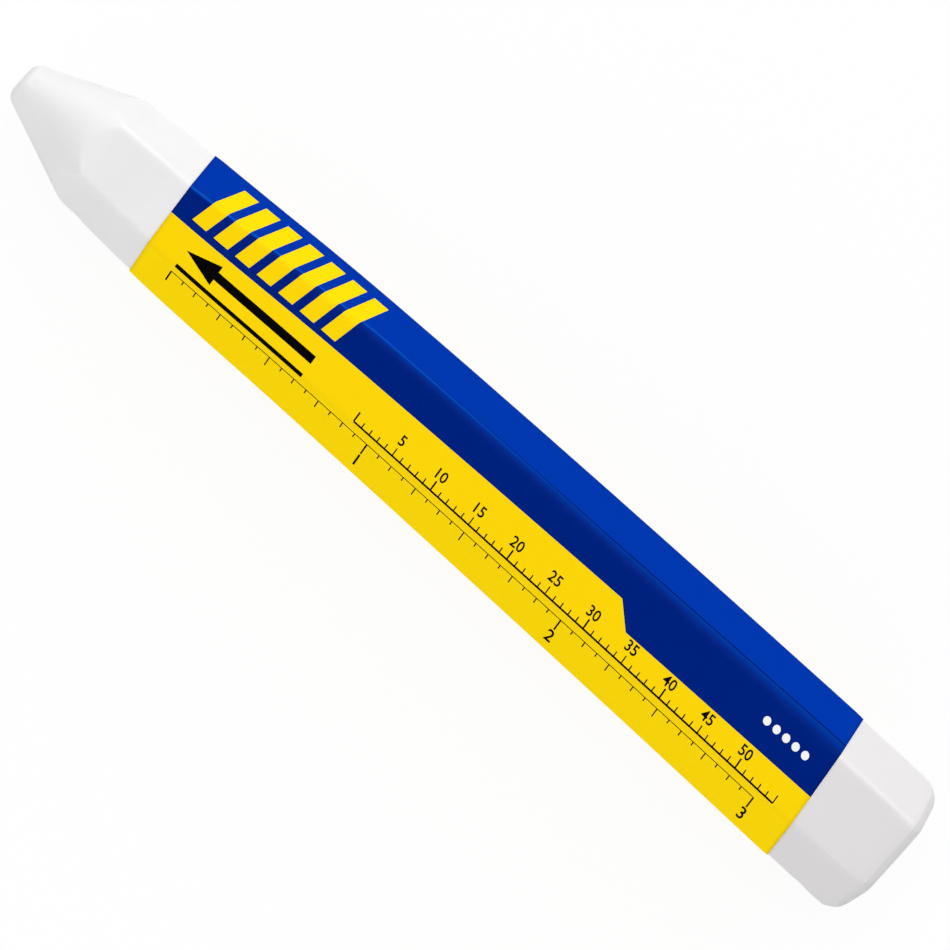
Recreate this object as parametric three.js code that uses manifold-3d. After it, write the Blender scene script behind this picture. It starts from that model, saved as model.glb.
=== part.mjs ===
// Marking crayon: a cast wax stick with six flats and a cone point, in a glued paper wrapper.
// Millimetres. X runs along the stick with the point at -X, Z is up, and it lies on one flat.
import * as THREE from "three";
import { mergeVertices } from "three/addons/utils/BufferGeometryUtils.js";
import Module from "manifold-3d";

const wasm = await Module();
wasm.setup();

// The wax stick. Its mould has draft, steep behind the point and slight towards the rear.
const OVERALL_LENGTH = 114.3;
const FLATS_AT_SHOULDER = 11.34;
const FLATS_AT_REAR = 14.13;
const FRONT_DRAFT_DEG = 3.34;
const FRONT_DRAFT_REACH = 16;
const REAR_DRAFT_DEG = 0.43;
const REAR_DRAFT_REACH = 58;
const CORNER_RADIUS = 0.6;
const SIDEWAYS_BOW = 0.5;

// The point: a blunt nose, its rounded rim, and the cone that runs out into the six flats.
const NOSE_RADIUS = 2.1;
const NOSE_RIM_RADIUS = 0.5;
const CONE_HALF_ANGLE_DEG = 23;

// The rear end: a flat middle inside a soft domed rim.
const REAR_FLAT_RADIUS = 3.8;
const REAR_DOME_DEPTH = 2.3;

// The paper wrapper. Its two cut edges lean, so each lies in a plane that isn't square to the stick.
const WRAPPER_START = 19.7;
const WRAPPER_LENGTH = 84.2;
const FRONT_EDGE_LEAN_DEG = 4.8;
const REAR_EDGE_LEAN_DEG = 7.5;
const PAPER_THICKNESS = 0.08;
const LAP_WIDTH = 4;
const LAP_RISE_LENGTH = 0.45;

// The glue that holds it: one strip on the wax under the leading end, one inside the lap.
const GLUE_THICKNESS = 0.03;
const GLUE_CLEARANCE = 0.02;
const PICKUP_STRIP_WIDTH = 3;
const LAP_STRIP_WIDTH = 3;
const STRIP_END_MARGIN = 4;

// How finely round and curved forms are cut into flat facets.
const CORNER_STEPS = 3;
const RIM_STEPS = 5;
const DOME_STEPS = 8;
const ROUND_STEPS = 72;
const STICK_STATIONS = 30;
const WRAPPER_STATIONS = 22;

// How close the search for a place on the taper comes, and how near two vertices are made one.
const TAPER_TOLERANCE = 1e-9;
const MERGE_DISTANCE = 1e-5;

const SIDES = 6;
const HALF_SIDE = Math.PI / SIDES;
const LAP_FACE_ANGLE = -HALF_SIDE;
const radians = THREE.MathUtils.degToRad;

// Distances out from a flat of the wax to the faces of the paper and the glue.
const PAPER_INSIDE = 2 * GLUE_CLEARANCE + GLUE_THICKNESS;
const PAPER_OUTSIDE = PAPER_INSIDE + PAPER_THICKNESS;
const LAP_INSIDE = PAPER_OUTSIDE + PAPER_INSIDE;
const LAP_OUTSIDE = LAP_INSIDE + PAPER_THICKNESS;

// Where the cone's straight side would meet the corners of the hexagon.
const CONE_LENGTH =
  (FLATS_AT_SHOULDER / 2 / Math.cos(HALF_SIDE) - NOSE_RADIUS) / Math.tan(radians(CONE_HALF_ANGLE_DEG));

// Half the width across flats at each place along the stick, as one curve with a draft at each end.
const taper = new THREE.CubicBezierCurve(
  new THREE.Vector2(CONE_LENGTH, FLATS_AT_SHOULDER / 2),
  new THREE.Vector2(
    CONE_LENGTH + FRONT_DRAFT_REACH,
    FLATS_AT_SHOULDER / 2 + FRONT_DRAFT_REACH * Math.tan(radians(FRONT_DRAFT_DEG)),
  ),
  new THREE.Vector2(
    OVERALL_LENGTH - REAR_DRAFT_REACH,
    FLATS_AT_REAR / 2 - REAR_DRAFT_REACH * Math.tan(radians(REAR_DRAFT_DEG)),
  ),
  new THREE.Vector2(OVERALL_LENGTH, FLATS_AT_REAR / 2),
);

function halfFlats(x) {
  if (x <= CONE_LENGTH) return FLATS_AT_SHOULDER / 2;
  let low = 0;
  let high = 1;
  while (high - low > TAPER_TOLERANCE) {
    const middle = (low + high) / 2;
    if (taper.getPoint(middle).x < x) low = middle;
    else high = middle;
  }
  return taper.getPoint(low).y;
}

// The middle of the section: it rises with the taper, so that the lowest flat stays level.
function centreHeight(x) {
  return halfFlats(x) + PAPER_OUTSIDE;
}

function centreAside(x) {
  const along = x / OVERALL_LENGTH;
  return SIDEWAYS_BOW * 4 * along * (1 - along);
}

// A place on the section is a stop: on the arc of a corner, or beside the middle of a flat.
// Angles run from +Y towards +Z, so corners lie at 0, 60, 120 degrees and so on.
function cornerStops(corner) {
  const stops = [];
  for (let step = 0; step <= CORNER_STEPS; step++) {
    const turn = HALF_SIDE * ((2 * step) / CORNER_STEPS - 1);
    stops.push({ corner: 2 * HALF_SIDE * corner, angle: 2 * HALF_SIDE * corner + turn });
  }
  return stops;
}

function stopPoint(stop, x, outward) {
  const flat = halfFlats(x);
  let y;
  let z;
  if (stop.corner === undefined) {
    const out = flat + outward;
    y = out * Math.cos(stop.angle) - stop.aside * Math.sin(stop.angle);
    z = out * Math.sin(stop.angle) + stop.aside * Math.cos(stop.angle);
  } else {
    const centre = (flat - CORNER_RADIUS) / Math.cos(HALF_SIDE);
    const radius = CORNER_RADIUS + outward;
    y = centre * Math.cos(stop.corner) + radius * Math.cos(stop.angle);
    z = centre * Math.sin(stop.corner) + radius * Math.sin(stop.angle);
  }
  return [x, centreAside(x) + y, centreHeight(x) + z];
}

// A closed mesh from rings of equal length. Each end is closed by a strip that zigzags across it,
// which suits a convex outline and also a sheet's, where outer and inner points face each other.
function meshOfRings(rings) {
  const count = rings[0].length;
  const faces = [];
  const quad = (a, b, c, d) => faces.push(a, b, c, a, c, d);
  for (let ring = 0; ring < rings.length - 1; ring++) {
    for (let index = 0; index < count; index++) {
      const next = (index + 1) % count;
      const near = ring * count;
      const far = near + count;
      quad(near + index, near + next, far + next, far + index);
    }
  }
  const last = (rings.length - 1) * count;
  for (let index = 0; index < count / 2 - 1; index++) {
    const across = count - 1 - index;
    quad(index, across, across - 1, index + 1);
    quad(last + index, last + index + 1, last + across - 1, last + across);
  }
  const geometry = new THREE.BufferGeometry();
  geometry.setAttribute("position", new THREE.Float32BufferAttribute(rings.flat(2), 3));
  geometry.setIndex(faces);
  return geometry;
}

function solidOf(geometry) {
  const bare = new THREE.BufferGeometry();
  bare.setAttribute("position", geometry.getAttribute("position"));
  if (geometry.index) bare.setIndex(geometry.index);
  const merged = mergeVertices(bare, MERGE_DISTANCE);
  const mesh = new wasm.Mesh({
    numProp: 3,
    vertProperties: new Float32Array(merged.attributes.position.array),
    triVerts: new Uint32Array(merged.index.array),
  });
  return new wasm.Manifold(mesh);
}

function geometryOf(solid) {
  const mesh = solid.getMesh();
  const geometry = new THREE.BufferGeometry();
  geometry.setAttribute("position", new THREE.BufferAttribute(mesh.vertProperties, 3));
  geometry.setIndex(new THREE.BufferAttribute(mesh.triVerts, 1));
  geometry.computeVertexNormals();
  return geometry;
}

// The six-sided body with its taper and bow, as long as the whole stick.
function bodyGeometry() {
  const around = [];
  for (let corner = 0; corner < SIDES; corner++) around.push(...cornerStops(corner));
  const rings = [];
  for (let station = 0; station <= STICK_STATIONS; station++) {
    const x = CONE_LENGTH + ((OVERALL_LENGTH - CONE_LENGTH) * station) / STICK_STATIONS;
    rings.push(around.map((stop) => stopPoint(stop, x, 0)));
  }
  rings.unshift(around.map((stop) => stopPoint(stop, 0, 0)));
  return meshOfRings(rings);
}

// A turned solid about the stick's own middle at one place, from an outline of [radius, x] points.
function turnedGeometry(outline, x) {
  const points = outline.map(([radius, along]) => new THREE.Vector2(radius, along));
  const geometry = new THREE.LatheGeometry(points, ROUND_STEPS);
  geometry.rotateZ(-Math.PI / 2);
  geometry.translate(0, centreAside(x), centreHeight(x));
  return geometry;
}

// Everything inside the cone and its blunt nose.
function pointSpace() {
  const slope = radians(CONE_HALF_ANGLE_DEG);
  const wide = FLATS_AT_REAR;
  const rimCentre = NOSE_RADIUS - NOSE_RIM_RADIUS * Math.tan((Math.PI / 2 - slope) / 2);
  const outline = [[0, 0]];
  for (let step = 0; step <= RIM_STEPS; step++) {
    const turn = ((Math.PI / 2 - slope) * step) / RIM_STEPS;
    outline.push([
      rimCentre + NOSE_RIM_RADIUS * Math.sin(turn),
      NOSE_RIM_RADIUS * (1 - Math.cos(turn)),
    ]);
  }
  outline.push([wide, (wide - NOSE_RADIUS) / Math.tan(slope)]);
  outline.push([wide, 2 * OVERALL_LENGTH], [0, 2 * OVERALL_LENGTH]);
  return turnedGeometry(outline, 0);
}

// Everything inside the domed rim of the rear end.
function rearSpace() {
  const dome = FLATS_AT_REAR / 2 / Math.cos(HALF_SIDE) - REAR_FLAT_RADIUS;
  const outline = [[0, -OVERALL_LENGTH], [REAR_FLAT_RADIUS + dome, -OVERALL_LENGTH]];
  for (let step = 0; step <= DOME_STEPS; step++) {
    const turn = ((Math.PI / 2) * step) / DOME_STEPS;
    outline.push([
      REAR_FLAT_RADIUS + dome * Math.cos(turn),
      OVERALL_LENGTH - REAR_DOME_DEPTH * (1 - Math.sin(turn)),
    ]);
  }
  outline.push([0, OVERALL_LENGTH]);
  return turnedGeometry(outline, OVERALL_LENGTH);
}

function stickGeometry() {
  const body = solidOf(bodyGeometry());
  return geometryOf(body.intersect(solidOf(pointSpace())).intersect(solidOf(rearSpace())));
}

// Where the wrapper's cut edges lie at a stop, nearer the point on the +Y side.
function wrapperEdges(stop) {
  const aside = stopPoint(stop, WRAPPER_START, 0)[1];
  return {
    front: WRAPPER_START - aside * Math.tan(radians(FRONT_EDGE_LEAN_DEG)),
    rear: WRAPPER_START + WRAPPER_LENGTH - aside * Math.tan(radians(REAR_EDGE_LEAN_DEG)),
  };
}

// The sheet's path round the wax: from the leading end on the lap face, over six corners and
// back, up over the leading end. Each stop has the distances of the paper's two faces.
function wrapperPath() {
  const close = { inside: PAPER_INSIDE, outside: PAPER_OUTSIDE };
  const raised = { inside: LAP_INSIDE, outside: LAP_OUTSIDE };
  const beside = (aside, turns) => ({ angle: LAP_FACE_ANGLE + turns * 2 * Math.PI, aside });
  const path = [{ ...beside(-LAP_WIDTH / 2, 0), ...close }];
  for (let corner = 0; corner < SIDES; corner++)
    for (const stop of cornerStops(corner)) path.push({ ...stop, ...close });
  path.push({ ...beside(-LAP_WIDTH / 2 - LAP_RISE_LENGTH - PAPER_OUTSIDE, 1), ...close });
  path.push({ ...beside(-LAP_WIDTH / 2 - PAPER_OUTSIDE, 1), ...raised });
  path.push({ ...beside(LAP_WIDTH / 2, 1), ...raised });
  return path;
}

// A sheet along a path of stops: a ring of outer and inner points at each station along it.
function sheetGeometry(path, endMargin) {
  const rings = [];
  for (let station = 0; station <= WRAPPER_STATIONS; station++) {
    const share = station / WRAPPER_STATIONS;
    const place = (stop, outward) => {
      const { front, rear } = wrapperEdges(stop);
      return stopPoint(stop, THREE.MathUtils.lerp(front + endMargin, rear - endMargin, share), outward);
    };
    const outer = path.map((stop) => place(stop, stop.outside));
    const inner = path.map((stop) => place(stop, stop.inside)).reverse();
    rings.push([...outer, ...inner]);
  }
  return meshOfRings(rings);
}

// A flat strip of glue under the lap face, its faces at two distances from the wax.
function stripGeometry(width, aside, inside) {
  const edge = (side) => ({
    angle: LAP_FACE_ANGLE,
    aside: aside + (side * width) / 2,
    inside,
    outside: inside + GLUE_THICKNESS,
  });
  return sheetGeometry([edge(-1), edge(1)], STRIP_END_MARGIN);
}

function part(name, geometry, color, roughness) {
  geometry.computeVertexNormals();
  const mesh = new THREE.Mesh(geometry, new THREE.MeshStandardMaterial({ color, roughness, metalness: 0 }));
  mesh.name = name;
  return mesh;
}

const crayon = new THREE.Group();
crayon.add(
  part("crayon_stick", stickGeometry(), "#ececea", 0.55),
  part("paper_wrapper", sheetGeometry(wrapperPath(), 0), "#0a37ad", 0.4),
  part(
    "pickup_glue_strip",
    stripGeometry(PICKUP_STRIP_WIDTH, (PICKUP_STRIP_WIDTH - LAP_WIDTH) / 2, GLUE_CLEARANCE),
    "#e9e2c8",
    0.3,
  ),
  part("lap_glue_strip", stripGeometry(LAP_STRIP_WIDTH, 0, PAPER_OUTSIDE + GLUE_CLEARANCE), "#e9e2c8", 0.3),
);

// The part's frame has its origin under the middle of its bounding box, on the surface it lies on.
const extent = new THREE.Box3().setFromObject(crayon, true);
const middle = extent.getCenter(new THREE.Vector3());
crayon.position.set(-middle.x, -middle.y, -extent.min.z);

const group = new THREE.Group();
group.add(crayon);

export default group;
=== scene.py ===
# %% [markdown]
# # A wax marking crayon in its paper wrapper
# The real object is a stick of cast white wax, six-sided, with a blunt cone point, in a printed
# paper wrapper that is glued round it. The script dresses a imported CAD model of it: the CAD gives
# the sizes and places, and the surfaces that the eye sees are modelled here round them.

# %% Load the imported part
import math

import bmesh
import bpy
import numpy as np
from mathutils import Matrix, Vector, geometry, noise


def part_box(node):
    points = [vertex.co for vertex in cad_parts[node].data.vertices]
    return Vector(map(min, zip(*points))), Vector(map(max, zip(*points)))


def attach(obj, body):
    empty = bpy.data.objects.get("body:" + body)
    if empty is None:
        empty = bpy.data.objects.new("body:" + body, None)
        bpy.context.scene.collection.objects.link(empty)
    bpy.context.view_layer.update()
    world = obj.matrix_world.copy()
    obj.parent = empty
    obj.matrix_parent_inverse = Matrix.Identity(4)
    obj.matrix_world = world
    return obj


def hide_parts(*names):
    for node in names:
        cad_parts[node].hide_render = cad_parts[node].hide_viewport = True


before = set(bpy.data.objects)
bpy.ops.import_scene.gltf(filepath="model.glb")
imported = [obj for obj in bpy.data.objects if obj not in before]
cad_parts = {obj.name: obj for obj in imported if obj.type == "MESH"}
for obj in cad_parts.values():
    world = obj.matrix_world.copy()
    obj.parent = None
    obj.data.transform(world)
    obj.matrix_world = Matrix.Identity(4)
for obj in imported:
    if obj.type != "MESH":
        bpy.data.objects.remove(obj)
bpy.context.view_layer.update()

# %% [markdown]
# ## Sizes
# The crayon is drawn in millimetres, measured along the stick from its point, and each finished
# mesh is turned into metres once. What the frame can tell is read from it: the length, the place
# of the middle of the nose, and how far the paper lifts the wax off the surface it lies on.

# %% Read the main sizes from the frame
MM = 0.001
stick_low, stick_high = (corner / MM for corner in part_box("crayon_stick"))
wrapper_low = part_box("paper_wrapper")[0] / MM

LENGTH = stick_high.x - stick_low.x
NOSE_X = stick_low.x
PAPER_OUT = stick_low.z - wrapper_low.z
NOSE_FACE_DEPTH = 0.01

nose_face = [
    vertex.co / MM
    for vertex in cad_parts["crayon_stick"].data.vertices
    if vertex.co.x / MM < NOSE_X + NOSE_FACE_DEPTH
]
NOSE_Y = (min(p.y for p in nose_face) + max(p.y for p in nose_face)) / 2
NOSE_Z = (min(p.z for p in nose_face) + max(p.z for p in nose_face)) / 2
print(f"length {LENGTH:.2f} mm, middle of the nose at {NOSE_Y:.3f}, {NOSE_Z:.3f} mm")

# %% [markdown]
# ## The camera
# The view is from straight above and 1.5 m away, with a long lens, so that the crayon is hardly
# foreshortened. The picture is turned so that the crayon's point is in the upper left corner.
# The camera leans a little to the blue side, which shows more of that side's flat. The lens
# follows from the distance and from how many pixels a millimetre gets.

# %% Place the camera
CAMERA_DISTANCE = 1500
CAMERA_TURN = math.radians(41.8)
CAMERA_LEAN = math.radians(1.5)
CAMERA_TARGET = Vector((1.65, 0.55, 7))
PICTURE_SIDE, PIXELS_PER_MM = 950, 10.24
SENSOR = 36
CLIP_START, CLIP_END = 0.01, 10

camera = bpy.data.objects.new("camera", bpy.data.cameras.new("camera"))
bpy.context.scene.collection.objects.link(camera)
bpy.context.scene.camera = camera
camera.data.sensor_width = SENSOR
camera.data.lens = SENSOR * CAMERA_DISTANCE * PIXELS_PER_MM / PICTURE_SIDE
facing = Matrix.Rotation(-CAMERA_LEAN, 4, "X") @ Matrix.Rotation(CAMERA_TURN, 4, "Z")
backwards = facing @ Vector((0, 0, CAMERA_DISTANCE))
camera.matrix_world = Matrix.Translation((CAMERA_TARGET + backwards) * MM) @ facing
camera.data.clip_start, camera.data.clip_end = CLIP_START, CLIP_END
print(f"lens {camera.data.lens:.0f} mm")

# %% [markdown]
# ## The section
# The mould has draft, so the crayon is thickest at the rear, and its width across flats follows
# one smooth curve. A Bezier with a steep handle behind the point and a slight one at the rear
# gives it. The lowest flat stays level, so the middle of the section climbs as the stick widens,
# and the stick has a slight bow sideways, with a smaller kink behind the point, as cast wax has.
# The bow is a parabola, and the kink a bell curve.

# %% Describe the taper, the bow and the kink
FLATS_AT_SHOULDER = 2 * (NOSE_Z - PAPER_OUT)
FLATS_AT_REAR = 14.13
FRONT_DRAFT, FRONT_REACH = math.radians(3.34), 16
REAR_DRAFT, REAR_REACH = math.radians(0.43), 58
CORNER_RADIUS = 0.6
BOW = 0.5
KINK, KINK_PLACE, KINK_REACH = 0.22, 23, 11
NOSE_RADIUS = 2.05
CONE_SLOPE = math.tan(math.radians(22.6))

SIDES = 6
TURN = 2 * math.pi / SIDES
SHOULDER = (FLATS_AT_SHOULDER / 2 / math.cos(TURN / 2) - NOSE_RADIUS) / CONE_SLOPE
TAPER_STEPS = 200

taper = geometry.interpolate_bezier(
    Vector((SHOULDER, FLATS_AT_SHOULDER / 2)),
    Vector((SHOULDER + FRONT_REACH, FLATS_AT_SHOULDER / 2 + FRONT_REACH * math.tan(FRONT_DRAFT))),
    Vector((LENGTH - REAR_REACH, FLATS_AT_REAR / 2 - REAR_REACH * math.tan(REAR_DRAFT))),
    Vector((LENGTH, FLATS_AT_REAR / 2)),
    TAPER_STEPS,
)
taper_places = [point.x for point in taper]
taper_sizes = [point.y for point in taper]


def half_flats(x):
    """Half the width across flats at x millimetres from the point."""
    return float(np.interp(x, taper_places, taper_sizes))


def kink(x):
    """How far the kink moves the stick sideways at x millimetres from the point."""
    return -KINK * math.exp(-(((x - KINK_PLACE) / KINK_REACH) ** 2))


def section_middle(x):
    """Where the middle of the section lies, as Y and Z."""
    along = x / LENGTH
    bow = BOW * 4 * along * (1 - along)
    return NOSE_Y + bow + kink(x), half_flats(x) + PAPER_OUT


print(f"across flats {FLATS_AT_SHOULDER:.2f} mm in front, {FLATS_AT_REAR:.2f} mm at the rear")

# %% [markdown]
# A section is a hexagon with rounded corners. From its middle, the distance to the outline is
# the flat's distance divided by a cosine, and near a corner it is the distance to a small arc.
# Cast corners are never quite alike, so the arc's radius may be given.


# %% Measure the section's outline from its middle
def outline_distance(angle, flat, corner):
    """Distance from the section's middle to its outline. Corners lie at 0, 60 degrees and so on."""
    from_flat = abs(angle % TURN - TURN / 2)
    straight = (flat - corner) * math.tan(TURN / 2)
    if flat * math.tan(from_flat) <= straight:
        return flat / math.cos(from_flat)
    to_corner = TURN / 2 - from_flat
    arc_middle = (flat - corner) / math.cos(TURN / 2)
    reach = corner**2 - (arc_middle * math.sin(to_corner)) ** 2
    return arc_middle * math.cos(to_corner) + math.sqrt(max(reach, 0))


def smooth_min(a, b, blend):
    """The smaller of two numbers, eased where they are within blend of each other."""
    overlap = max(blend - abs(a - b), 0) / blend
    return min(a, b) - overlap**2 * blend / 4


rear_corner = outline_distance(0, FLATS_AT_REAR / 2, CORNER_RADIUS)
print(f"a corner at the rear lies {rear_corner:.2f} mm from the middle")

# %% [markdown]
# ## The wax blank
# The point is a turned cone, and the body has flat sides. So the stick starts as a turned blank
# with the nose, the cone, a straight body and a soft rear rim, and the flats are pressed into it
# next. The blank's profile is a few vertices, its nose rim is a short curve, its rear rim is
# steep at first and ends square to the stick, and a spin makes the round body. The cone gets
# close rings, because the soft edges where the flats run out on it need them.

# %% Draw the blank's profile
BLANK_RADIUS = 8.4
NOSE_RIM, NOSE_RIM_STEPS, RIM_FULLNESS = 0.8, 8, 0.55
REAR_RIM_DEPTH, REAR_RIM_INSET, REAR_RIM_STEPS = 0.9, 1.6, 14
NOSE_RINGS, CONE_RINGS, BODY_RINGS, REAR_RINGS = 8, 110, 138, 14

nose_corner = Vector((0, NOSE_RADIUS))
cone_direction = Vector((1, CONE_SLOPE)).normalized()
rim_start = nose_corner - Vector((0, NOSE_RIM))
rim_end = nose_corner + cone_direction * NOSE_RIM
nose_rim = geometry.interpolate_bezier(
    rim_start,
    rim_start.lerp(nose_corner, RIM_FULLNESS),
    rim_end.lerp(nose_corner, RIM_FULLNESS),
    rim_end,
    NOSE_RIM_STEPS,
)
profile = [(0, 0), *nose_rim, ((BLANK_RADIUS - NOSE_RADIUS) / CONE_SLOPE, BLANK_RADIUS)]
for step in range(REAR_RIM_STEPS + 1):
    across = step / REAR_RIM_STEPS
    before_end = REAR_RIM_DEPTH * (1 - across) ** 2
    profile.append((LENGTH - before_end, BLANK_RADIUS - REAR_RIM_INSET * across))
profile.append((LENGTH, 0))

wax = bmesh.new()
points = [wax.verts.new((x, radius, 0)) for x, radius in profile]
edges = [wax.edges.new(pair) for pair in zip(points, points[1:])]
cone_place = NOSE_RIM_STEPS
for edge, cuts in (
    (edges[0], NOSE_RINGS),
    (edges[cone_place], CONE_RINGS),
    (edges[cone_place + 1], BODY_RINGS),
    (edges[-1], REAR_RINGS),
):
    bmesh.ops.subdivide_edges(wax, edges=[edge], cuts=cuts)
print(f"profile of {len(wax.verts)} vertices")

# %% Spin the profile into a round blank
SPIN_STEPS = 144
JOIN_DISTANCE = 1e-4

bmesh.ops.spin(
    wax,
    geom=wax.verts[:] + wax.edges[:],
    cent=(0, 0, 0),
    axis=(1, 0, 0),
    angle=2 * math.pi,
    steps=SPIN_STEPS,
    use_merge=True,
)
bmesh.ops.remove_doubles(wax, verts=wax.verts, dist=JOIN_DISTANCE)
bmesh.ops.recalc_face_normals(wax, faces=wax.faces)
print(f"blank of {len(wax.faces)} faces")

# %% [markdown]
# ## The flats
# Each vertex moves along its own radius. In front, it goes to the smaller of two distances, the
# blank's and the hexagon's, and a smooth minimum leaves the soft edge of cast wax where a flat
# runs out on the cone. Behind, the rim is the same hexagon drawn smaller with rounder corners.
# The columns are first gathered towards the six corners, which have the tightest curves. The
# corners' radius drifts a little along the stick, from the CAD's own radius upwards, so that the
# wax never leaves the CAD's box.

# %% Press the flats
GATHER = 0.75
BLEND = 0.16
CORNER_DRIFT, DRIFT_LENGTH, DRIFT_APART = 0.25, 3.5, 6
RIM_ROUNDING = 0.35
END_ROUNDING, END_REACH = 1.1, 4


def noise_share(place):
    """Smooth noise at a place, from 0 to 1."""
    return 0.5 + 0.5 * noise.noise(place)


def drifting_corner(x, angle):
    """A corner's radius at one place: its own drift along the stick, and rounder near the end."""
    corner = round(angle / TURN) % SIDES
    drift = noise_share(Vector((x / DRIFT_LENGTH, corner * DRIFT_APART, 0)))
    near_end = max(0, 1 - (LENGTH - x) / END_REACH)
    return CORNER_RADIUS + CORNER_DRIFT * drift + END_ROUNDING * near_end**2


def pressed_radius(x, reach, angle):
    """Where a point of the blank, at reach from the axis, ends up along its own radius."""
    corner = drifting_corner(x, angle)
    if x < LENGTH / 2:
        return smooth_min(reach, outline_distance(angle, half_flats(x), corner), BLEND)
    inset = min(BLANK_RADIUS - reach, REAR_RIM_INSET)
    shrunk = outline_distance(angle, half_flats(x) - inset, corner + RIM_ROUNDING * inset)
    return shrunk * reach / (BLANK_RADIUS - inset)


for vertex in wax.verts:
    x, y, z = vertex.co
    angle = math.atan2(z, y)
    angle -= GATHER * math.sin(SIDES * angle) / SIDES
    radius = pressed_radius(x, math.hypot(y, z), angle)
    middle_y, middle_z = section_middle(x)
    vertex.co = (
        NOSE_X + x,
        middle_y + radius * math.cos(angle),
        middle_z + radius * math.sin(angle),
    )
print(f"pressed {SIDES} flats with {len(wax.verts)} vertices")

# %% [markdown]
# The rear end is square to the stick only between the top flat's two corners. Past them it
# slopes back to both sides, and it falls off quickly at the outermost corners, which are more
# than a millimetre shorter. The last few millimetres of the stick take up that slope.

# %% Slope the rear end back at the sides
SQUARE_HALF, SIDE_SLOPE = 3.9, 0.2
OUTER_HALF, OUTER_FALL = 6.9, 0.7
SLOPE_REACH = 6

furthest = 0
for vertex in wax.verts:
    x = vertex.co.x - NOSE_X
    aside = abs(vertex.co.y - section_middle(x)[0])
    share = max(0, 1 - (LENGTH - x) / SLOPE_REACH)
    slope = SIDE_SLOPE * max(0, aside - SQUARE_HALF)
    fall = OUTER_FALL * max(0, aside - OUTER_HALF) ** 2
    vertex.co.x -= share * (slope + fall)
    furthest = max(furthest, share * (slope + fall))
wax.normal_update()
print(f"the rear end slopes back by up to {furthest:.2f} mm")

# %% [markdown]
# ## Casting marks
# Wax shrinks as it sets, so its flats are faintly hollow and uneven, and it is soft enough to
# get small dents where it knocks against others in the box. Both are moved into the mesh, always
# inwards: broad and fine noise for the skin, and a few dents at listed places, each given by
# its place along the stick, its angle, its size and its depth.

# %% Move the casting marks into the wax
SWELL_LENGTH, SWELL_DEPTH = 9, 0.035
SKIN_LENGTH, SKIN_DEPTH = 1.6, 0.008
DENTS = [
    (LENGTH - 0.3, math.radians(120), 0.9, 0.16),
    (LENGTH - 0.1, math.radians(57), 0.9, 0.3),
    (LENGTH - 0.4, math.radians(93), 0.6, 0.06),
    (LENGTH - 5.2, math.radians(181), 1.2, 0.1),
    (9.6, math.radians(121), 1.1, 0.1),
    (12.8, math.radians(177), 1.3, 0.09),
    (4.1, math.radians(150), 1.4, 0.06),
    (1.2, math.radians(75), 0.8, 0.07),
    (LENGTH - 2.4, math.radians(300), 1.1, 0.12),
    (15.5, math.radians(240), 1.2, 0.1),
]


def dent_place(x, angle):
    """The point on the wax at a place along the stick and an angle."""
    middle_y, middle_z = section_middle(x)
    cone = NOSE_RADIUS + x * CONE_SLOPE
    radius = min(cone, outline_distance(angle, half_flats(x), CORNER_RADIUS))
    return Vector(
        (NOSE_X + x, middle_y + radius * math.cos(angle), middle_z + radius * math.sin(angle))
    )


def eased(share):
    """A share from 0 to 1 that starts and ends gently."""
    return share**2 * (3 - 2 * share)


dents = [(dent_place(x, angle), size, depth) for x, angle, size, depth in DENTS]
for vertex in wax.verts:
    swell = SWELL_DEPTH * noise_share(vertex.co / SWELL_LENGTH)
    inward = swell + SKIN_DEPTH * noise_share(vertex.co / SKIN_LENGTH)
    for place, size, depth in dents:
        inward += depth * eased(max(1 - (vertex.co - place).length / size, 0))
    vertex.co -= vertex.normal * inward
print(f"moved the skin and {len(dents)} dents into the wax")

# %% [markdown]
# A finished piece is one mesh at the origin, in metres, with smooth faces unless it is a film
# with sharp edges. One function does that for every piece and hangs it on the crayon's only body.


# %% Turn a bmesh into a finished piece
def finish_piece(mesh_data, name, smooth=True):
    """Makes a bmesh in millimetres an object in metres that rides on the crayon's body."""
    bmesh.ops.scale(mesh_data, vec=(MM, MM, MM), verts=mesh_data.verts)
    for face in mesh_data.faces:
        face.smooth = smooth
    mesh = bpy.data.meshes.new(name)
    mesh_data.to_mesh(mesh)
    mesh_data.free()
    piece = bpy.data.objects.new(name, mesh)
    bpy.context.scene.collection.objects.link(piece)
    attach(piece, "root")
    print(f"{name}: {len(mesh.polygons)} faces")
    return piece


wax_stick = finish_piece(wax, "wax_stick")
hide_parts("crayon_stick")

# %% [markdown]
# ## The flat sheet
# A wrapper is printed flat and then folded round the crayon, so it is made that way here. The
# sheet lies in its own millimetres: along it from its front edge, and across it from the middle
# of the top flat, positive towards the blue side. One side of the crayon is SIDE wide on it. A
# grid gives the sheet, its columns gathered at the folds, and two cuts give its glued ends.

# %% Make the flat sheet
SIDE = 7.5
SHEET_LENGTH = 84.2
SHEET_START = 19.7
LAP_WIDTH = 4
LAP_SIDE = 2
FIRST_SIDE, LAST_SIDE = LAP_SIDE - SIDES, LAP_SIDE
ALONG_STEPS, SIDE_STEPS = 168, 20
UNIT_HALF = 0.5
FOLD_GATHER = 0.8


def side_length(x):
    """The length of one side of the section there, round its corners' middles."""
    straight = 2 * (half_flats(x) - CORNER_RADIUS) * math.tan(TURN / 2)
    return straight + CORNER_RADIUS * TURN


def on_side(side, aside, along):
    """The flat place that lies aside millimetres from the middle of one side of the crayon."""
    return Vector((along, SIDE * (side + aside / side_length(SHEET_START + along)), 0))


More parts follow.
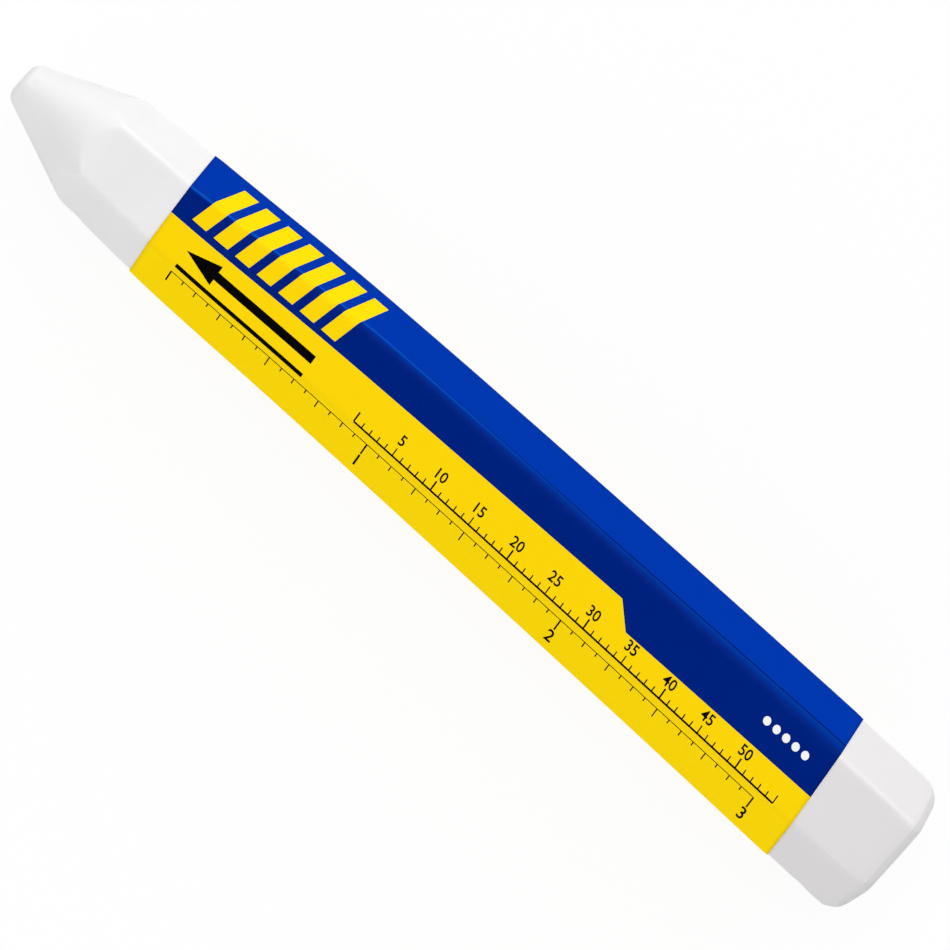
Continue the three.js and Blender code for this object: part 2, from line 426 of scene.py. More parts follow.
def cut(sheet, start, end, clear=False):
    """Cuts the sheet along a line. With clear, what lies to the right of the line goes."""
    line = end - start
    right = Vector((line.y, -line.x, 0)).normalized()
    bmesh.ops.bisect_plane(
        sheet,
        geom=sheet.verts[:] + sheet.edges[:] + sheet.faces[:],
        dist=JOIN_DISTANCE,
        plane_co=start,
        plane_no=right,
        clear_outer=clear,
    )


sheet = bmesh.new()
sides_drawn = LAST_SIDE - FIRST_SIDE + 1
middle_side = (FIRST_SIDE + LAST_SIDE) / 2
bmesh.ops.create_grid(
    sheet, x_segments=ALONG_STEPS, y_segments=sides_drawn * SIDE_STEPS, size=UNIT_HALF
)
bmesh.ops.translate(sheet, vec=(UNIT_HALF, middle_side / sides_drawn, 0), verts=sheet.verts)
bmesh.ops.scale(sheet, vec=(SHEET_LENGTH, sides_drawn * SIDE, 1), verts=sheet.verts)
for vertex in sheet.verts:
    round_once = 2 * math.pi * vertex.co.y / SIDE
    vertex.co.y += FOLD_GATHER * SIDE / (2 * math.pi) * math.sin(round_once)

leading = [on_side(LAST_SIDE, LAP_WIDTH / 2, along) for along in (SHEET_LENGTH, 0)]
trailing = [on_side(FIRST_SIDE, -LAP_WIDTH / 2, along) for along in (0, SHEET_LENGTH)]
cut(sheet, *leading, clear=True)
cut(sheet, *trailing, clear=True)
print(f"flat sheet of {len(sheet.faces)} faces")

# %% [markdown]
# The trailing end of the sheet climbs over the leading end. Its short slope needs rows of its
# own, so the sheet is also cut along the slope, from its top to its foot.

# %% Cut rows for the lap's slope
LAP_SLOPE = 0.45
LAP_FOOT = LAP_WIDTH / 2 + LAP_SLOPE + PAPER_OUT
LAP_TOP = LAP_WIDTH / 2 + PAPER_OUT
SLOPE_ROWS = 6

for row in range(SLOPE_ROWS + 1):
    aside = LAP_TOP + (LAP_FOOT - LAP_TOP) * row / SLOPE_ROWS
    cut(sheet, *(on_side(FIRST_SIDE, aside, along) for along in (0, SHEET_LENGTH)))
print(f"{SLOPE_ROWS} rows for the slope, {len(sheet.faces)} faces")

# %% [markdown]
# ## The print
# Two blues and a yellow cover the sheet, and plain marks lie on them: slanting bars, an arrow to
# the point, two measuring scales and a row of dots. Inks could be painted by a mask, but a cut
# edge stays sharp at any distance. So each printed shape is an outline cut into the flat sheet,
# and the faces inside it get that ink's material. An outline is convex and runs anticlockwise.

# %% Cut an outline into the sheet and ink it
LIGHT_BLUE, DARK_BLUE, CREASE_SHADE_BLUE, YELLOW, BLACK, WHITE, BARE_PAPER = range(7)
MESH_STEP = 0.7


def print_shape(outline, ink):
    """Inks the inside of a convex outline, given as flat (along, across) points."""
    corners = [Vector((along, across, 0)) for along, across in outline]
    left, right = min(p.x for p in corners), max(p.x for p in corners)
    low, high = min(p.y for p in corners), max(p.y for p in corners)
    near = [
        vertex
        for vertex in sheet.verts
        if left - MESH_STEP <= vertex.co.x <= right + MESH_STEP
        and low - MESH_STEP <= vertex.co.y <= high + MESH_STEP
    ]
    part = {face for vertex in near for face in vertex.link_faces}
    edges = {edge for face in part for edge in face.edges}
    verts = {vertex for face in part for vertex in face.verts}
    geom = [*verts, *edges, *part]
    for start, end in zip(corners, corners[1:] + corners[:1]):
        line = end - start
        outwards = Vector((line.y, -line.x, 0)).normalized()
        geom = bmesh.ops.bisect_plane(
            sheet, geom=geom, dist=JOIN_DISTANCE, plane_co=start, plane_no=outwards
        )["geom"]
        inside = [
            item
            for item in geom
            if isinstance(item, bmesh.types.BMFace)
            and (item.calc_center_median() - start).dot(outwards) < 0
        ]
        edges = {edge for face in inside for edge in face.edges}
        verts = {vertex for face in inside for vertex in face.verts}
        geom = [*verts, *edges, *inside]
    for face in inside:
        face.material_index = ink


def print_box(along, across, length, width, ink):
    """Inks an upright rectangle from its lowest corner."""
    print_shape(
        [
            (along, across),
            (along + length, across),
            (along + length, across + width),
            (along, across + width),
        ],
        ink,
    )


# %% [markdown]
# The yellow reaches from a line near the middle of the top flat round to the glued end. The line
# climbs a little, because the sheet is wrapped askew, and near the rear it steps down at a slant.
# The darker blue is a band between that line and a second one beside the fold. Towards the rear
# a thin deep blue line along the second line is painted crease shade.

# %% Print the grounds
PAST = 1
SHEET_LOW = SIDE * (FIRST_SIDE - 1)
FRONT, STEP_FROM, STEP_TO, REAR = -PAST, 57.9, 60.1, SHEET_LENGTH + PAST
YELLOW_TOP = {FRONT: 0.16, STEP_FROM: 1.01, STEP_TO: -1.12, REAR: -0.8}
TONE_LINE = [(FRONT, 0.02), (24, 1.2), (55, 1.3), (REAR, 1.85)]
CREASE_SHADE_FROM, CREASE_SHADE_FULL, CREASE_SHADE_WIDTH = 24, 55, 0.2
STREAK_BELOW, STREAK_HALF = 0.27, 0.2

for start, end in ((FRONT, STEP_FROM), (STEP_FROM, STEP_TO), (STEP_TO, REAR)):
    ground = [
        (start, SHEET_LOW),
        (end, SHEET_LOW),
        (end, YELLOW_TOP[end]),
        (start, YELLOW_TOP[start]),
    ]
    print_shape(ground, YELLOW)


def yellow_top(along):
    """Where the yellow ends at a place along the sheet."""
    return float(np.interp(along, list(YELLOW_TOP), list(YELLOW_TOP.values())))


def tone_line(along):
    """Where the dark blue ends at a place along the sheet."""
    past_fold = np.interp(along, *zip(*TONE_LINE))
    return SIDE / 2 + float(past_fold)


stops = sorted({along for along, _ in TONE_LINE} | set(YELLOW_TOP))
for start, end in zip(stops, stops[1:]):
    band = [
        (start, yellow_top(start)),
        (end, yellow_top(end)),
        (end, tone_line(end)),
        (start, tone_line(start)),
    ]
    print_shape(band, DARK_BLUE)
print(f"printed grounds, {len(sheet.faces)} faces")

# %% [markdown]
# A painted highlight streak runs just below the tone line. Its edges and its middle are cut into
# the sheet as two bands of the same dark blue, so that the painted highlight added later has
# vertices to follow. The deep line, painted crease shade, starts as a wedge that widens to its full
# width.


# %% Cut the painted highlight streak and print the painted crease shade
def print_below_tone(start, end, low, high, ink):
    """Inks a band that lies between two distances below the tone line."""
    print_shape(
        [
            (start, tone_line(start) - low),
            (end, tone_line(end) - low),
            (end, tone_line(end) - high),
            (start, tone_line(start) - high),
        ],
        ink,
    )


for start, end in zip(stops, stops[1:]):
    print_below_tone(start, end, STREAK_BELOW + STREAK_HALF, STREAK_BELOW, DARK_BLUE)
    print_below_tone(start, end, STREAK_BELOW, STREAK_BELOW - STREAK_HALF, DARK_BLUE)

# The deep blue line is painted crease shade, along the tone line towards the rear.
wedge = [
    (CREASE_SHADE_FROM, tone_line(CREASE_SHADE_FROM)),
    (CREASE_SHADE_FULL, tone_line(CREASE_SHADE_FULL) - CREASE_SHADE_WIDTH),
    (CREASE_SHADE_FULL, tone_line(CREASE_SHADE_FULL)),
]
print_shape(wedge, CREASE_SHADE_BLUE)
print_below_tone(CREASE_SHADE_FULL, REAR, CREASE_SHADE_WIDTH, 0, CREASE_SHADE_BLUE)
print(f"printed the deep line, {len(sheet.faces)} faces")

# %% [markdown]
# The bars cross the fold, and the arrow and its line lie on the yellow in front. The dots are
# near the rear, on the dark blue.

# %% Print the bars, the arrow and the dots
BAR_COUNT, BAR_PITCH, BAR_WIDTH = 7, 2.75, 1.8
BAR_START, BAR_LOW, BAR_HIGH, BAR_SLANT = 2.1, 1.05, 9.4, 2.3
ARROW_TIP, ARROW_NECK, ARROW_END = 3.5, 7.3, 19.8
ARROW_MIDDLE, ARROW_HALF_HEAD, ARROW_HALF_SHAFT = -1.75, 1.15, 0.45
UNDERLINE_LOW, UNDERLINE_WIDTH = -3.78, 0.36
DOT_COUNT, DOT_PITCH, DOT_RADIUS, DOT_CORNERS = 5, 1.25, 0.42, 20
DOT_START, DOT_ACROSS = 76.4, 1.65

for bar in range(BAR_COUNT):
    left = BAR_START + bar * BAR_PITCH
    outline = [
        (left, BAR_LOW),
        (left + BAR_WIDTH, BAR_LOW),
        (left + BAR_WIDTH + BAR_SLANT, BAR_HIGH),
        (left + BAR_SLANT, BAR_HIGH),
    ]
    print_shape(outline, YELLOW)

arrow_head = [
    (ARROW_TIP, ARROW_MIDDLE),
    (ARROW_NECK, ARROW_MIDDLE - ARROW_HALF_HEAD),
    (ARROW_NECK, ARROW_MIDDLE + ARROW_HALF_HEAD),
]
print_shape(arrow_head, BLACK)
shaft_low, shaft_width = ARROW_MIDDLE - ARROW_HALF_SHAFT, 2 * ARROW_HALF_SHAFT
print_box(ARROW_NECK, shaft_low, ARROW_END - ARROW_NECK, shaft_width, BLACK)
print_box(ARROW_TIP, UNDERLINE_LOW, ARROW_END - ARROW_TIP, UNDERLINE_WIDTH, BLACK)

turns = [2 * math.pi * corner / DOT_CORNERS for corner in range(DOT_CORNERS)]
for dot in range(DOT_COUNT):
    middle = DOT_START + dot * DOT_PITCH
    outline = [
        (middle + DOT_RADIUS * math.cos(turn), DOT_ACROSS + DOT_RADIUS * math.sin(turn))
        for turn in turns
    ]
    print_shape(outline, WHITE)
print(f"printed marks, {len(sheet.faces)} faces")

# %% [markdown]
# A measuring scale is a base line with ticks. One is in millimetres, on the top flat, with longer
# ticks at each fifth and tenth. One is in sixteenths of an inch, on the next flat down, with
# longer ticks at each eighth, quarter, half and whole inch. Each is described by its start, the
# number of ticks, their spacing, and how often each length of tick comes.

# %% Print the two scales
TICK_WIDTH, LONG_TICK_WIDTH, BASE_WIDTH = 0.13, 0.18, 0.16
MM_START, MM_BASE, MM_TICKS, MM_STEP = 26.5, -3.55, 55, 1
MM_TICK_LENGTHS = [(10, 1.05), (5, 0.85), (1, 0.55)]
INCH, TICKS_PER_INCH, INCHES = 25.4, 16, 3
INCH_START, INCH_BASE = 3.5, -4.75
INCH_TICKS, INCH_STEP = INCHES * TICKS_PER_INCH, INCH / TICKS_PER_INCH
INCH_TICK_LENGTHS = [(TICKS_PER_INCH, -2.3), (8, -1.9), (4, -1.5), (2, -1.1), (1, -0.8)]


def print_scale(start, base, count, step, lengths):
    """Prints a base line and its ticks. A negative length points down from the line."""
    print_box(start, base - BASE_WIDTH / 2, count * step, BASE_WIDTH, BLACK)
    longest = lengths[0]
    for tick in range(count + 1):
        every, length = next(pair for pair in lengths if tick % pair[0] == 0)
        width = LONG_TICK_WIDTH if (every, length) == longest else TICK_WIDTH
        low = min(base, base + length)
        print_box(start + tick * step - width / 2, low, width, abs(length), BLACK)


print_scale(MM_START, MM_BASE, MM_TICKS, MM_STEP, MM_TICK_LENGTHS)
print_scale(INCH_START, INCH_BASE, INCH_TICKS, INCH_STEP, INCH_TICK_LENGTHS)
print(f"printed scales, {len(sheet.faces)} faces")

# %% [markdown]
# ## The fold
# Folding is a rule for each vertex: the side of the crayon that it lies over, how far aside from
# that side's middle it is, and how far off the wax. Past the straight part of a side, the rest
# of the distance is spent on the corner's arc. The paper hugs the wax at its two cut edges, and
# in between it lies a few hundredths of a millimetre slack. The sheet's edges lean, so a place
# along the sheet lies nearer the point on the blue side.

# %% Describe how the sheet lies on the crayon
FRONT_LEAN = math.tan(math.radians(4.8))
REAR_LEAN = math.tan(math.radians(7.5))
HUG, HUG_REACH = 0.05, 1.2
SLACK, SLACK_LENGTH = 0.02, 6
KEPT_INSIDE = 0.006


def on_section(x, across, out):
    """The Y and Z of a place across the sheet at x from the point, out from the wax."""
    corner = CORNER_RADIUS
    straight = (half_flats(x) - corner) * math.tan(TURN / 2)
    side = round(across / SIDE)
    aside = (across / SIDE - side) * side_length(x)
    flat_part = max(-straight, min(straight, aside))
    bend = (aside - flat_part) / corner
    level = half_flats(x) - corner + (corner + out) * math.cos(bend)
    shifted = flat_part + (corner + out) * math.sin(bend)
    facing_angle = math.pi / 2 - side * TURN
    middle_y, middle_z = section_middle(x)
    return (
        middle_y + level * math.cos(facing_angle) + shifted * math.sin(facing_angle),
        middle_z + level * math.sin(facing_angle) - shifted * math.cos(facing_angle),
    )


def lap_rise(x, across):
    """How much the trailing end is lifted, where it lies over the leading end."""
    if across > SIDE * (FIRST_SIDE + 1 / 2):
        return 0
    aside = (across / SIDE - FIRST_SIDE) * side_length(x)
    climbed = max(0, min(1, (LAP_FOOT - aside) / (LAP_FOOT - LAP_TOP)))
    return PAPER_OUT * eased(climbed)


def fold(along, across, above=0):
    """The folded place of a flat place on the sheet's printed face, or above it."""
    lean_y = on_section(SHEET_START, across, 0)[0] - NOSE_Y
    front = SHEET_START - lean_y * FRONT_LEAN
    rear = SHEET_START + SHEET_LENGTH - lean_y * REAR_LEAN
    x = front + (rear - front) * along / SHEET_LENGTH
    from_edge = max(0, min(along, SHEET_LENGTH - along))
    hug = HUG * max(0, 1 - from_edge / HUG_REACH) ** 2
    slack = SLACK * noise_share(Vector((along, across, 0)) / SLACK_LENGTH)
    out = PAPER_OUT - KEPT_INSIDE - hug - slack + lap_rise(x, across) + above
    return Vector((NOSE_X + x, *on_section(x, across, out)))


print(f"the sheet starts {fold(0, 0).x - NOSE_X:.2f} mm from the point")

# %% [markdown]
# Before the sheet is folded, each corner of its faces keeps its flat place as a UV map, in
# metres, so that patterns in the paper follow the sheet. Each vertex also keeps how near it is
# to a fold, for the wear of the ink there. The dark blue is painted lighter from the fold to the
# tone line, and lightest in a painted highlight streak along the front half, and the yellow is
# painted lighter past the lower fold, as painted light against the shade on that side. Each
# vertex keeps how much light is painted into it.

# %% Fold the sheet
FOLD_WEAR_WIDTH = 0.25
BAND_LIGHTENING, LIGHTER_OVER = 0.34, 0.4
STREAK_FADE = (20, 62)

flat_map = sheet.loops.layers.uv.new("flat_sheet")
fold_wear = sheet.verts.layers.float.new("fold_wear")
painted_light = sheet.verts.layers.float.new("painted_light")
for face in sheet.faces:
    for loop in face.loops:
        loop[flat_map].uv = loop.vert.co.xy * MM
for vertex in sheet.verts:
    along, across, _ = vertex.co
    folds_passed = across / SIDE + 1 / 2
    from_fold = (folds_passed - round(folds_passed)) * SIDE
    vertex[fold_wear] = math.exp(-((from_fold / FOLD_WEAR_WIDTH) ** 2))
    # Painted light: the dark blue is painted lighter past the fold and in the streak, as a painted
    # highlight.
    past_fold = max(0, across - SIDE / 2) / (tone_line(along) - SIDE / 2)
    # Painted light: the yellow past the lower fold is painted lighter, against the shade on that
    # side.
    lower_side_painted_light = min(1, max(0, -SIDE / 2 - across) / LIGHTER_OVER)
    from_streak = abs(tone_line(along) - across - STREAK_BELOW) / STREAK_HALF
    painted_streak = float(np.interp(along, STREAK_FADE, (1, 0))) * max(0, 1 - from_streak)
    vertex[painted_light] = max(BAND_LIGHTENING * min(past_fold, 1), painted_streak, lower_side_painted_light)
    vertex.co = fold(along, across)
bmesh.ops.recalc_face_normals(sheet, faces=sheet.faces)
top_face = max(sheet.faces, key=lambda face: face.calc_center_median().z)
if top_face.normal.z < 0:
    bmesh.ops.reverse_faces(sheet, faces=sheet.faces)

wrapper = finish_piece(sheet, "printed_wrapper")
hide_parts("paper_wrapper")

# %% [markdown]
# The sheet gets its thickness last, inwards from its printed face, by a Solidify modifier. Its
# inner face and its cut edges show bare paper.

# %% Thicken the paper
PAPER_THICKNESS = 0.08

thickness = wrapper.modifiers.new("paper thickness", "SOLIDIFY")
thickness.thickness = PAPER_THICKNESS * MM
thickness.offset = -1
thickness.use_rim = True
thickness.material_offset = BARE_PAPER
thickness.material_offset_rim = BARE_PAPER
print(f"paper {PAPER_THICKNESS} mm thick")

# %% [markdown]
# ## The glue
# Two strips of dried glue hold the sheet: one between the wax and its leading end, and one
# between its two ends. The CAD's films have the right shape, but they lie along a stick without
# the kink. So a copy of each is merged, because its triangles are loose, and moved sideways with
# the kink, so that it stays hidden under the paper.

# %% Move the glue films with the kink
glue_films = []
for node, name in (("pickup_glue_strip", "pickup_glue"), ("lap_glue_strip", "lap_glue")):
    film = bmesh.new()
    film.from_mesh(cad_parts[node].data)
    bmesh.ops.scale(film, vec=(1 / MM, 1 / MM, 1 / MM), verts=film.verts)
    bmesh.ops.remove_doubles(film, verts=film.verts, dist=JOIN_DISTANCE)
    for vertex in film.verts:
        vertex.co.y += kink(vertex.co.x - NOSE_X)
    glue_films.append(finish_piece(film, name, smooth=False))
    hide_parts(node)

# %% [markdown]
# ## The numbers
# A scale needs its numbers. Each is a text object made a mesh, set in the sheet's flat
# millimetres, given the thickness of a heavy ink film and folded with the sheet's own rule.
# Digits differ a little in height, so every number is scaled by the height of a plain 1. The
# inch numbers are tall and narrow.

# %% Set and fold the numbers
INK_FILM, INK_SUNK = 0.012, 0.004
DIGIT_WEIGHT, DIGIT_CURVE_STEPS = 0.012, 4
MM_DIGIT_HEIGHT, MM_DIGIT_BASE, MM_NUMBER_STEP = 1.05, -2.32, 5
INCH_DIGIT_HEIGHT, INCH_DIGIT_BASE, INCH_NARROWING = 2.3, -9.6, 0.55


def text_mesh(text):
    """A number as a flat mesh, centred on its own width and standing on its base line."""
    curve = bpy.data.curves.new("number", "FONT")
    curve.body = text
    curve.align_x = "CENTER"
    curve.resolution_u = DIGIT_CURVE_STEPS
    curve.offset = DIGIT_WEIGHT
    holder = bpy.data.objects.new("number", curve)
    mesh = bpy.data.meshes.new_from_object(holder)
    bpy.data.objects.remove(holder)
    return mesh


one = text_mesh("1")
one_height = max(vertex.co.y for vertex in one.vertices)
numbers = bmesh.new()


def set_number(text, along, base, height, narrowing=1):
    """Adds a number to the sheet at a flat place, as a thin film of ink."""
    old = set(numbers.verts)
    numbers.from_mesh(text_mesh(text))
    new = [vertex for vertex in numbers.verts if vertex not in old]
    scale = height / one_height
    bmesh.ops.scale(numbers, vec=(scale * narrowing, scale, 1), verts=new)
    bmesh.ops.translate(numbers, vec=(along, base, -INK_SUNK), verts=new)


for number in range(MM_NUMBER_STEP, MM_TICKS, MM_NUMBER_STEP):
    set_number(str(number), MM_START + number * MM_STEP, MM_DIGIT_BASE, MM_DIGIT_HEIGHT)
for inch in range(1, INCHES + 1):
    along = INCH_START + inch * TICKS_PER_INCH * INCH_STEP
    set_number(str(inch), along, INCH_DIGIT_BASE, INCH_DIGIT_HEIGHT, INCH_NARROWING)

bmesh.ops.remove_doubles(numbers, verts=numbers.verts, dist=JOIN_DISTANCE)
raised = bmesh.ops.extrude_face_region(numbers, geom=numbers.faces[:])["geom"]
raised = [item for item in raised if isinstance(item, bmesh.types.BMVert)]
bmesh.ops.translate(numbers, vec=(0, 0, INK_SUNK + INK_FILM), verts=raised)
bmesh.ops.recalc_face_normals(numbers, faces=numbers.faces)
for vertex in numbers.verts:
    vertex.co = fold(*vertex.co)
printed_numbers = finish_piece(numbers, "printed_numbers", smooth=False)

# %% [markdown]
# ## Materials
# A material is a small graph of nodes. One function adds a node with its settings and its
# inputs, and one turns a colour's hex code into the linear values that the nodes use.


# %% Write the material helpers
def add_node(tree, kind, inputs=(), **settings):
    """Adds a node. Settings are its own properties. Inputs are values or sockets to link from."""
    node = tree.nodes.new("ShaderNode" + kind)
    for name, value in settings.items():
        setattr(node, name, value)
    for socket, value in dict(inputs).items():
        if isinstance(value, bpy.types.NodeSocket):
            tree.links.new(value, node.inputs[socket])
        else:
            node.inputs[socket].default_value = value
    return node


def linear(hex_code):
    """A hex colour as linear red, green, blue and alpha, by the sRGB standard's curve."""
    channels = [int(hex_code[place : place + 2], 16) / 255 for place in (1, 3, 5)]
    return [c / 12.92 if c <= 0.04045 else ((c + 0.055) / 1.055) ** 2.4 for c in channels] + [1]


def new_material(name):
    """An empty material, its node tree and its output node."""
    material = bpy.data.materials.new(name)
    material.use_nodes = True
    material.node_tree.nodes.clear()
    return material, material.node_tree, add_node(material.node_tree, "OutputMaterial")


# A Mix node has sockets for each kind of data. These are the places of those for colours.
MIX_FACTOR, MIX_A, MIX_B, MIX_RESULT = 0, 6, 7, 2
print(f"the middle grey #808080 is {linear('#808080')[0]:.3f} as a linear value")

# %% [markdown]
# Marking wax is paraffin filled with chalk and white pigment, poured into a metal mould. Light
# goes a little way into it, which softens its edges. The fill settles unevenly, so the white is
# faintly cloudy. Towards the rear it is painted a shade greyer, as painted shade for the light
# that falls off along the stick. The mould leaves a fine dull grain.

# %% Make the cast wax
CLOUD_SIZE, GRAIN_SIZE, SMEAR_SIZE = 5 * MM, 0.35 * MM, 2.2 * MM

cast_wax, tree, output = new_material("cast_white_wax")
place = add_node(tree, "TexCoord").outputs["Object"]
clouds = add_node(tree, "TexNoise", {"Vector": place, "Scale": 1 / CLOUD_SIZE, "Detail": 4})
front_white = add_node(
    tree,
    "Mix",
    {MIX_FACTOR: clouds.outputs["Fac"], MIX_A: linear("#efeeef"), MIX_B: linear("#e6e5e6")},
    data_type="RGBA",
)
along = add_node(tree, "SeparateXYZ", {"Vector": place}).outputs["X"]
# Painted shade: the wax is painted greyer towards the rear, for light that falls off along the
# stick.
rear_painted_shade = add_node(
    tree, "MapRange", {"Value": along, "From Min": stick_low.x * MM, "From Max": stick_high.x * MM}
)
white = add_node(
    tree,
    "Mix",
    {
        MIX_FACTOR: rear_painted_shade.outputs["Result"],
        MIX_A: front_white.outputs[MIX_RESULT],
        MIX_B: linear("#dedcdd"),
    },
    data_type="RGBA",
)
smears = add_node(tree, "TexNoise", {"Vector": place, "Scale": 1 / SMEAR_SIZE, "Detail": 2})
dullness = add_node(
    tree,
    "MapRange",
    {"Value": smears.outputs["Fac"], "To Min": 0.32, "To Max": 0.5},
)
grain = add_node(tree, "TexNoise", {"Vector": place, "Scale": 1 / GRAIN_SIZE, "Detail": 3})
relief = add_node(
    tree,
    "Bump",
    {"Height": grain.outputs["Fac"], "Strength": 0.6, "Distance": 0.02 * MM},
)
wax_surface = add_node(
    tree,
    "BsdfPrincipled",
    {
        "Base Color": white.outputs[MIX_RESULT],
        "Roughness": dullness.outputs["Result"],
        "IOR": 1.44,
        "Normal": relief.outputs["Normal"],
        "Subsurface Weight": 0.35,
        "Subsurface Radius": (1, 0.92, 0.85),
        "Subsurface Scale": 0.8 * MM,
    },
)
tree.links.new(wax_surface.outputs["BSDF"], output.inputs["Surface"])
wax_stick.data.materials.append(cast_wax)
print(f"{cast_wax.name}: {len(tree.nodes)} nodes")

# %% [markdown]
# The wrapper is thin paper with a matt coating, printed by offset. The ink is flat and deep,
# with a faint mottle where the coating drinks it, and at a fold the ink cracks and the white
# paper shows through in a faint broken line. Where light is painted in, as a painted highlight
# or as painted light on a shaded side, the colour moves to a lighter one and a little paper white
# shows as well. One function makes each ink's material, because they are all the same sheet.


# %% Describe paper under an ink
MOTTLE_SIZE, FIBRE_SIZE, CRACK_SIZE = 1.5 * MM, 0.12 * MM, 0.5 * MM
PAPER_WHITE = "#f1efe9"


def printed_paper(name, ink, mottled, painted_light_colour=None, wear_and_painted_light_strength=0.004):
    """Paper under one ink: its colour, the mottle's, its painted light colour, and how strong its
    wear and painted light are.
    """
    material, tree, output = new_material(name)
    place = add_node(tree, "UVMap", uv_map="flat_sheet").outputs["UV"]
    mottle = add_node(tree, "TexNoise", {"Vector": place, "Scale": 1 / MOTTLE_SIZE, "Detail": 4})
    # This share is painted light: a painted highlight on the dark blue, and lighter yellow on the
    # shaded lower side.
    painted_light_share = add_node(tree, "Attribute", attribute_name="painted_light").outputs["Fac"]
    full_ink = add_node(
        tree,
        "Mix",
        {MIX_FACTOR: mottle.outputs["Fac"], MIX_A: linear(ink), MIX_B: linear(mottled)},
        data_type="RGBA",
    )
    ink_colour = add_node(
        tree,
        "Mix",
        {MIX_FACTOR: painted_light_share, MIX_A: full_ink.outputs[MIX_RESULT], MIX_B: linear(painted_light_colour or ink)},
        data_type="RGBA",
    )
    cracks = add_node(tree, "TexNoise", {"Vector": place, "Scale": 1 / CRACK_SIZE, "Detail": 3})
    folds = add_node(tree, "Attribute", attribute_name="fold_wear")
    # Fold wear and painted light both let a little paper white show.
    wear_or_painted_light = add_node(tree, "Math", {0: folds.outputs["Fac"], 1: painted_light_share}, operation="MAXIMUM")
    broken = add_node(
        tree, "Math", {0: wear_or_painted_light.outputs[0], 1: cracks.outputs["Fac"]}, operation="MULTIPLY"
    )
    share = add_node(tree, "Math", {0: broken.outputs[0], 1: wear_and_painted_light_strength}, operation="MULTIPLY")
    wear_and_painted_light_colour = add_node(
        tree,
        "Mix",
        {
            MIX_FACTOR: share.outputs[0],
            MIX_A: ink_colour.outputs[MIX_RESULT],
            MIX_B: linear(PAPER_WHITE),
        },
        data_type="RGBA",
    )
    fibres = add_node(tree, "TexNoise", {"Vector": place, "Scale": 1 / FIBRE_SIZE, "Detail": 2})
    relief = add_node(
        tree, "Bump", {"Height": fibres.outputs["Fac"], "Strength": 0.4, "Distance": 0.004 * MM}
    )
    surface = add_node(
        tree,
        "BsdfPrincipled",
        {
            "Base Color": wear_and_painted_light_colour.outputs[MIX_RESULT],
            "Roughness": 0.5,
            "IOR": 1.45,
            "Specular IOR Level": 0.002,
            "Normal": relief.outputs["Normal"],
        },
    )
    tree.links.new(surface.outputs["BSDF"], output.inputs["Surface"])
    return material


# %% [markdown]
# The materials go onto the sheet in the order in which the inks were numbered, and bare paper is
# the last. White, light blue and bare paper show no wear or painted light, so theirs is nothing.
# The dark blue's lighter colour is its painted highlight, the yellow's is painted light for its
# shaded lower side, and the deep blue is painted crease shade. The numbers share the scales' black.

# %% Put the inks on the sheet
for material in (
    printed_paper("light_blue_ink", "#0035a6", "#00329f", wear_and_painted_light_strength=0),
    printed_paper("dark_blue_ink", "#002482", "#001e74", painted_light_colour="#0055cc"),
    printed_paper("crease_shade_blue_ink", "#001b64", "#00175a"),
    printed_paper("yellow_ink", "#fbd60a", "#fad308", painted_light_colour="#ffdb05"),
    printed_paper("black_ink", "#060505", "#0a0808"),
    printed_paper("white_ink", "#f6f6f6", "#efefef", wear_and_painted_light_strength=0),
    printed_paper("bare_paper", PAPER_WHITE, "#e9e6de", wear_and_painted_light_strength=0),
):
    wrapper.data.materials.append(material)
printed_numbers.data.materials.append(wrapper.data.materials[BLACK])
print(f"{len(wrapper.data.materials)} inks and papers on the sheet")

# %% [markdown]
# The glue can't be seen on a whole crayon, but its two strips are in the model. It is a dried
# starch film, slightly yellow, shiny, and streaky from the roller.

# %% Make the dried glue
STREAK_SIZE = 0.8 * MM

glue, tree, output = new_material("dried_glue")
place = add_node(tree, "TexCoord").outputs["Object"]
streaks = add_node(tree, "TexNoise", {"Vector": place, "Scale": 1 / STREAK_SIZE, "Detail": 3})
streaky = add_node(
    tree,
    "Mix",
    {MIX_FACTOR: streaks.outputs["Fac"], MIX_A: linear("#efe8cf"), MIX_B: linear("#ddd2ad")},
    data_type="RGBA",
)
glue_surface = add_node(
    tree,
    "BsdfPrincipled",
    {"Base Color": streaky.outputs[MIX_RESULT], "Roughness": 0.28, "IOR": 1.5},
)
tree.links.new(glue_surface.outputs["BSDF"], output.inputs["Surface"])
for film in glue_films:
    film.data.materials.append(glue)
print(f"{glue.name}: {len(tree.nodes)} nodes")

# %% [markdown]
# ## The floor and the light
# The crayon lies on a plain white floor. The floor adds a glow of its own for the camera alone,
# so that it reads as white paper while the shadow under the crayon stays.

# %% Lay the floor
FLOOR_HALF, FLOOR_DROP = 1500, 0.02
FLOOR_GLOW = 0.91

ground = bmesh.new()
bmesh.ops.create_grid(ground, x_segments=1, y_segments=1, size=FLOOR_HALF * MM)
bmesh.ops.translate(ground, vec=(0, 0, -FLOOR_DROP * MM), verts=ground.verts)
floor_mesh = bpy.data.meshes.new("floor")
ground.to_mesh(floor_mesh)
ground.free()
floor = bpy.data.objects.new("floor", floor_mesh)
bpy.context.scene.collection.objects.link(floor)

